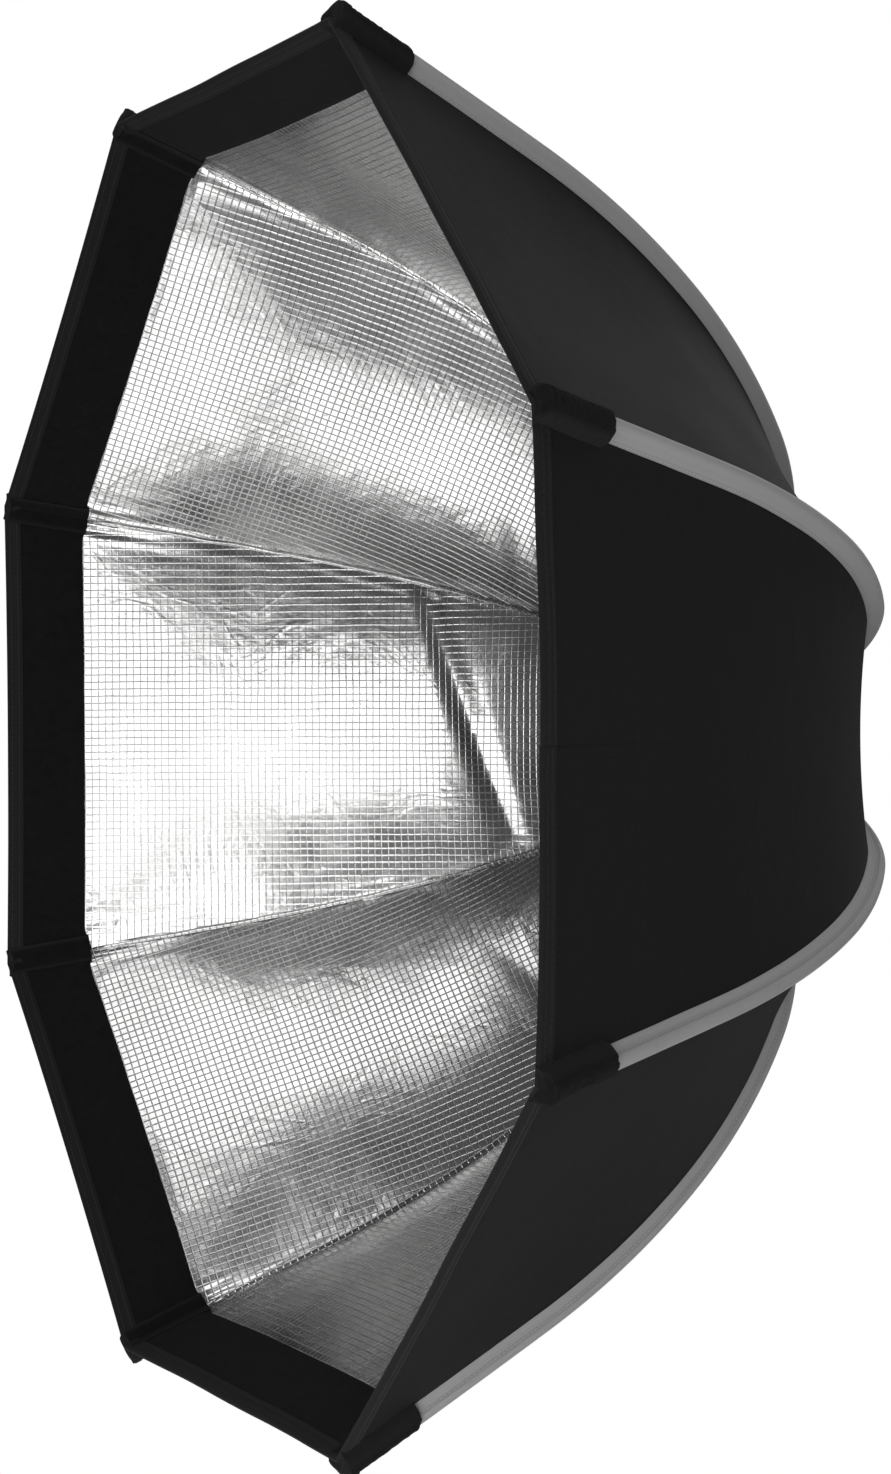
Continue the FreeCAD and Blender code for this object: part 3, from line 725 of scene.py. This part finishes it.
def lining_wrinkle(angle, s, across):
    """Height of the lining's wrinkles: broad swells, pleats beside the seams, and the slanting crease."""
    reach = rod_course(s)[0] * math.sin(HALF_SPACING)
    x = across * reach
    seed = angle * 7.0
    ripple = noise.noise(Vector((x * 30, s * 22, seed + 3)))
    swell = noise.noise(Vector((x * 11, s * 7, seed))) + 0.35 * ripple
    beside = (1 - abs(across)) * reach
    from_band = max(RIM - BAND_WIDTH - s, 0.0)
    pleat = noise.noise(Vector((beside * 210, s * 16, seed + 9 + across))) + 0.4
    pleats = 2.0 * MM * pleat * math.exp(-beside / 0.012) * (0.25 + math.exp(-from_band / 0.035))
    slant = (s - CREASE_AT + CREASE_SLOPE * x) / CREASE_HALF_WIDTH
    tall = CREASES[round(angle / SPACING) % ROD_COUNT] * MM
    uneven = 0.75 + 0.5 * noise.noise(Vector((x * 14, seed, 4.0)))
    crease = tall * math.exp(-slant * slant) * smooth(beside / 0.012) * uneven
    sewn_at_band = smooth((RIM - BAND_WIDTH - s) / 0.006)
    hold = sewn_at_band * smooth(beside / 0.0012) * smooth((s - HUB_END) / 0.02)
    return hold * (0.5 * MM * (swell + 0.6) + pleats + crease)


def make_gore(number, word):
    """One half gore: outer cloth, lining, rim band and the two bindings."""
    angle, low, high = half_gore(number, word)
    where = f"{word}_rod_{number}"

    def outer_place(u, v, back):
        return gore_point(angle, mix(HUB_END, RIM, v), mix(low, high, u), CLOTH * back)

    def toward_rod(u):
        """Cells of the lining are finer near the rod."""
        return u**1.8 if word == "above" else 1 - (1 - u) ** 1.8

    def lining_place(u, v, back):
        s, across = mix(HUB_END, RIM, v), mix(low, high, toward_rod(u))
        depth = LINING_DEPTH + LINING * back + max(lining_wrinkle(angle, s, across), 0.0)
        return gore_point(angle, s, across, depth)

    def uv(u, v):
        return gore_uv(mix(HUB_END, RIM, v), mix(low, high, u))

    def lining_uv(u, v):
        return uv(toward_rod(u), v)

    cloth = finish_mesh(sheet_mesh(*CLOTH_CELLS, outer_place, uv), f"cloth_{where}", OUTER)
    bm = sheet_mesh(*LINING_CELLS, lining_place, lining_uv)
    lining = finish_mesh(bm, f"lining_{where}", LINING_LOOK)
    fold_with(cloth, number, word)
    fold_with(lining, number, word, inner=True)
    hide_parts(f"gore_{word}_rod_{number}")

    band_top = RIM - BAND_WIDTH

    def band_place(u, v, back):
        across = mix(low, high, u)
        round_corner = 5.0 * MM * smooth(abs(across) * 9 - 8) * (1 - v)
        s = mix(band_top, RIM - 0.5 * MM, v) - round_corner
        edge = smooth(v / 0.03)
        fluff = 0.25 * MM * noise.noise(Vector((across * 60, s * 500, angle)))
        return gore_point(angle, s, across, BAND_DEPTH + (BAND * edge + fluff) * back)

    def band_uv(u, v):
        return gore_uv(mix(band_top, RIM, v), mix(low, high, u))

    band = finish_mesh(sheet_mesh(*BAND_CELLS, band_place, band_uv), f"rim_band_{where}", FLEECE)
    fold_with(band, number, word, inner=True)

    hem = finish_mesh(hem_mesh(angle, low, high, RIM, HEM, 1), f"rim_binding_{where}", BINDING)
    neck = finish_mesh(hem_mesh(angle, low, high, HUB_END, HEM, -1), f"hub_binding_{where}", BINDING)
    for piece in (hem, neck):
        fold_with(piece, number, word)
    area = half_gore_area()


def hem_mesh(angle, low, high, edge_s, width, way):
    """Tape folded over an end of the cloth. way is 1 at the rim and -1 at the hub."""
    over = 1.1 * MM
    out_depth = -0.35 * MM
    in_depth = BAND_DEPTH + BAND + 0.2 * MM if way > 0 else 1.9 * MM
    tape = 0.5 * MM
    leg = 0.42

    def fold_path(share):
        """s and depth along the tape, from its outer edge over the fold to its inner edge."""
        if share < leg:
            return edge_s - way * width * (1 - share / leg), out_depth
        if share > 1 - leg:
            return edge_s - way * width * (share - 1 + leg) / leg, in_depth
        turn = math.pi * (share - leg) / (1 - 2 * leg)
        middle, half = (in_depth + out_depth) / 2, (in_depth - out_depth) / 2
        return edge_s + way * over * math.sin(turn), middle - half * math.cos(turn)

    def place(u, v, back):
        across = mix(low, high, u)
        s, depth = fold_path(v)
        inward = (s - edge_s) * way < 0
        if inward:
            depth += -tape * back if v < 0.5 else tape * back
        else:
            s += way * tape * back
        return gore_point(angle, s, across, depth)

    def uv(u, v):
        x, _ = gore_uv(edge_s, mix(low, high, u))
        return (2.4 * width * min(v, 1 - v), x)

    return sheet_mesh(20, 19, place, uv)


for number in range(1, ROD_COUNT + 1):
    for word in ("below", "above"):
        make_gore(number, word)

# ---------------------------------------------------------------- along the rods

SLEEVE_END = TAB_START + 3 * MM
TAB_HALF = 8.5 * MM


def sleeve_outline():
    """Half tube over the rod with a sewn foot on each side, from one foot round to the other."""
    slope = math.tan(HALF_SPACING)
    foot, tube = 5.2 * MM, 3.75 * MM

    def under(side):
        """Height of the cloth beside the rod."""
        return -CLOTH_UNDER_ROD + 0.08 * MM - abs(side) * slope

    arc = [math.radians(20 + 140 * i / 12) for i in range(13)]
    right = [
        (foot, under(foot)),
        (foot + 0.1 * MM, under(foot) + 0.8 * MM),
        (4.4 * MM, -5.2 * MM),
        (3.85 * MM, -3.6 * MM),
        (3.8 * MM, -0.6 * MM),
    ]
    top = [(tube * math.cos(a), tube * math.sin(a)) for a in arc]
    left = [(-side, height) for side, height in reversed(right)]
    return right + top + left + [(0.0, under(0.0))]


def make_sleeve(number):
    angle = rod_angle(number)
    start = SLEEVE_START - 1 * MM

    def place(side, height, v):
        s = mix(start, SLEEVE_END, v)
        slack = 1 + 0.05 * noise.noise(Vector((s * 30, angle, 2.0)))
        return rod_point(angle, s, side * slack, height)

    bm = swept_mesh(sleeve_outline(), 70, place, SLEEVE_END - start)
    sleeve = finish_mesh(bm, f"sleeve_{number}", SLEEVE, f"rod_{number}", 50)
    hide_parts(f"rod_sleeve_{number}")


# Section of a lining seam from one foot to the other, as (side, height off the lining) in millimetres.
SEAM_SECTION = [(-2.0, 0), (-1.3, 0.5), (-0.75, 2.4), (-0.2, 3.0), (0.3, 2.9), (0.8, 2.2), (1.3, 0.5)]
SEAM_SECTION += [(2.0, 0), (0.0, -0.3)]


def make_seam(number):
    """Raised sewn edge of the lining under a rod, on the inside of the box."""
    angle = rod_angle(number)
    start, end = HUB_END + 4 * MM, RIM - BAND_WIDTH
    slope = math.tan(HALF_SPACING)
    top = -CLOTH_UNDER_ROD - LINING_DEPTH - LINING

    outline = [(side * MM, top - tall * MM - abs(side) * MM * slope) for side, tall in SEAM_SECTION]

    def place(side, height, v):
        s = mix(start, end, v)
        height = top + (height - top) * (0.1 + 0.9 * smooth((end - s) / (16 * MM)))
        tall = max(top - height, 0.0) / (3.0 * MM)
        lean_over = 0.8 * MM * noise.noise(Vector((s * 45, angle * 2, 7.0))) * tall
        radius, y, _ = cloth_course(s, -height - CLOTH_UNDER_ROD)
        return around_axis(radius, y, side + lean_over, angle)

    bm = swept_mesh(outline, 150, place, end - start)
    seam = finish_mesh(bm, f"seam_{number}", LINING_LOOK, f"rod_{number}", 60)


def pocket_top(side):
    """Height of the fleece over the rod's tip, from its middle to its flat edges."""
    share = min(abs(side) / TAB_HALF, 1.0)
    return mix(-3.2 * MM, 5.0 * MM, (1 - share**2.6) ** 0.75)


def make_tab(number):
    """Fleece pocket over the rod's tip, with a strap that goes over the rim and down the inside."""
    angle = rod_angle(number)
    slope = math.tan(HALF_SPACING)
    thick = 1.2 * MM
    inner = -CLOTH_UNDER_ROD - BAND_DEPTH - BAND - 0.3 * MM
    strap_start, strap_top, strap_end = RIM - 5 * MM, RIM + 0.4 * MM, RIM - BAND_WIDTH - 4 * MM
    outside = 0.15

    def fuzz(side, s, tall):
        return tall * noise.noise(Vector((side * 420, s * 420, number * 5.0)))

    def pocket_place(u, v, back):
        side = mix(-TAB_HALF, TAB_HALF, u)
        ragged = 0.9 * MM * noise.noise(Vector((side * 500, number * 3.0, 1.0))) * (1 - v)
        s = mix(TAB_START, RIM + 0.2 * MM, v) + ragged
        side *= 1 + 0.05 * noise.noise(Vector((s * 160, number * 3.0, u * 2)))
        base = -CLOTH_UNDER_ROD + 0.1 * MM - abs(side) * slope
        end = 1 - 0.16 * (1 - smooth(v / 0.06))
        top = mix(base, pocket_top(side), end) + fuzz(side, s, 0.45 * MM)
        return rod_point(angle, s, side, mix(top, base, back))

    def strap_place(u, v, back):
        side = mix(-TAB_HALF, TAB_HALF, u)
        turn = smooth((v - 0.09) / 0.12)
        low = inner - abs(side) * slope
        if v < outside:
            s = mix(strap_start, strap_top, v / outside)
        else:
            s = mix(strap_top, strap_end, (v - outside) / (1 - outside))
        s += 0.7 * MM * math.sin(math.pi * min(v / 0.3, 1.0))
        lift = (thick + fuzz(side, s, 0.35 * MM)) * (0.3 if back else -0.7)
        height = mix(pocket_top(side) + 0.3 * MM, low, turn)
        side *= 1 + 0.03 * noise.noise(Vector((s * 160, number * 3.0, 2 * u)))
        along, outwards = math.sin(math.pi * turn), math.cos(math.pi * turn)
        return rod_point(angle, s + lift * along, side, height + lift * outwards)

    def strap_uv(u, v):
        return (u * 2 * TAB_HALF, v * 0.06)

    for part, cells, place in (("pocket", 60, pocket_place), ("strap", 70, strap_place)):
        bm = sheet_mesh(22, cells, place, strap_uv)
        tab = finish_mesh(bm, f"corner_{part}_{number}", STRAP, f"rod_{number}", 60)
        if part == "pocket":
            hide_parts(f"corner_tab_{number}")


for number in range(1, ROD_COUNT + 1):
    make_sleeve(number)
    make_seam(number)
    make_tab(number)

# ---------------------------------------------------------------- stage, light and camera


FLOOR_RADIUS = 14.0
FLOOR_Z = -0.85


def make_floor():
    """A round floor that the camera sees as plain white, and the object's light as grey."""
    bm = bmesh.new()
    bmesh.ops.create_circle(bm, cap_ends=True, segments=96, radius=FLOOR_RADIUS)
    bmesh.ops.translate(bm, verts=bm.verts[:], vec=(0, 0, FLOOR_Z))
    mesh = bpy.data.meshes.new("floor")
    bm.to_mesh(mesh)
    bm.free()
    floor = bpy.data.objects.new("floor", mesh)
    bpy.context.scene.collection.objects.link(floor)
    made = bpy.data.materials.new("pale_floor")
    made.use_nodes = True
    n = Nodes(made.node_tree)
    made.node_tree.nodes.remove(made.node_tree.nodes["Principled BSDF"])
    out = made.node_tree.nodes["Material Output"]
    dull, bright = n.add("ShaderNodeBsdfDiffuse"), n.add("ShaderNodeEmission")
    both = n.add("ShaderNodeMixShader")
    dull.inputs["Color"].default_value = (0.5, 0.5, 0.5, 1)
    bright.inputs["Color"].default_value = (1, 1, 1, 1)
    n.feed(n.add("ShaderNodeLightPath").outputs["Is Camera Ray"], both.inputs[0])
    n.feed(dull.outputs[0], both.inputs[1])
    n.feed(bright.outputs[0], both.inputs[2])
    n.feed(both.outputs[0], out.inputs["Surface"])
    mesh.materials.append(made)


def make_world():
    """White round the camera's view, and a dim grey for everything that it lights."""
    world = bpy.data.worlds.new("studio")
    bpy.context.scene.world = world
    world.use_nodes = True
    n = Nodes(world.node_tree)
    back = world.node_tree.nodes["Background"]
    to_camera = n.add("ShaderNodeLightPath").outputs["Is Camera Ray"]
    n.feed(n.blend(to_camera, (0.09, 0.09, 0.092, 1), (1, 1, 1, 1)), back.inputs["Color"])


def soft_light(name, place, target, size, energy):
    """A rectangular panel of the size (wide, high) in metres that faces its target."""
    data = bpy.data.lights.new(name, "AREA")
    data.shape = "RECTANGLE"
    data.size, data.size_y = size
    data.energy = energy
    lamp = bpy.data.objects.new(name, data)
    aim = (Vector(target) - Vector(place)).to_track_quat("-Z", "Y")
    lamp.matrix_world = Matrix.Translation(place) @ aim.to_matrix().to_4x4()
    bpy.context.scene.collection.objects.link(lamp)


make_floor()
make_world()
MIDDLE_OF_BOX = (0.0, -0.2, 0.0)
UPPER_LINING, LOWER_LINING = (-0.2, -0.25, 0.2), (-0.2, -0.25, -0.2)
soft_light("front_panel", (1.76, -1.68, 0.0), MIDDLE_OF_BOX, (0.5, 0.8), 5.0)
soft_light("strip_panel", (1.42, -2.01, 0.0), MIDDLE_OF_BOX, (0.35, 0.9), 4.0)
soft_light("side_panel", (2.1, -1.14, 0.0), MIDDLE_OF_BOX, (0.7, 0.7), 2.8)
soft_light("low_side_panel", (1.95, -1.07, -0.8), MIDDLE_OF_BOX, (0.7, 0.7), 8.8)
soft_light("high_side_panel", (1.03, -0.58, 1.91), MIDDLE_OF_BOX, (0.9, 0.9), 7.2)
soft_light("right_panel", (1.31, 1.68, 0.2), MIDDLE_OF_BOX, (1.2, 1.2), 3.5)
soft_light("floor_panel", (0.7, -0.7, -0.8), UPPER_LINING, (0.5, 0.5), 3.8)
soft_light("low_panel", (-0.13, -0.7, -0.8), UPPER_LINING, (0.4, 0.4), 1.3)
soft_light("high_panel", (-0.13, -0.7, 0.95), LOWER_LINING, (0.4, 0.4), 1.1)
soft_light("back_panel", (-1.09, 1.68, 1.01), MIDDLE_OF_BOX, (1.4, 1.4), 5)
soft_light("left_panel", (-2.13, -0.58, 0.38), MIDDLE_OF_BOX, (1.0, 1.4), 1.3)

CAMERA_PLACE = (1.5283, -0.99903, 0.017515)
CAMERA_AZIMUTH, CAMERA_ELEVATION, CAMERA_ROLL = 63.2024, 0.5874, -0.2934
CAMERA_LENS, CAMERA_SENSOR = 73.0255, 36.0


def make_camera():
    """The camera: azimuth round Z from -Y, then elevation, both of its place, and roll, in degrees."""
    azimuth, elevation, roll = map(math.radians, (CAMERA_AZIMUTH, CAMERA_ELEVATION, CAMERA_ROLL))
    flat = math.cos(elevation)
    back = Vector((math.sin(azimuth) * flat, -math.cos(azimuth) * flat, math.sin(elevation)))
    level = (-back).cross(Vector((0, 0, 1))).normalized()
    upright = level.cross(-back)
    right = level * math.cos(roll) + upright * math.sin(roll)
    up = upright * math.cos(roll) - level * math.sin(roll)
    lens = bpy.data.cameras.new("camera")
    lens.lens = CAMERA_LENS
    lens.sensor_width = CAMERA_SENSOR
    camera = bpy.data.objects.new("camera", lens)
    turned = Matrix((right, up, back)).transposed().to_4x4()
    camera.matrix_world = Matrix.Translation(CAMERA_PLACE) @ turned
    bpy.context.scene.collection.objects.link(camera)
    bpy.context.scene.camera = camera


make_camera()
bpy.context.scene.view_settings.view_transform = "Standard"
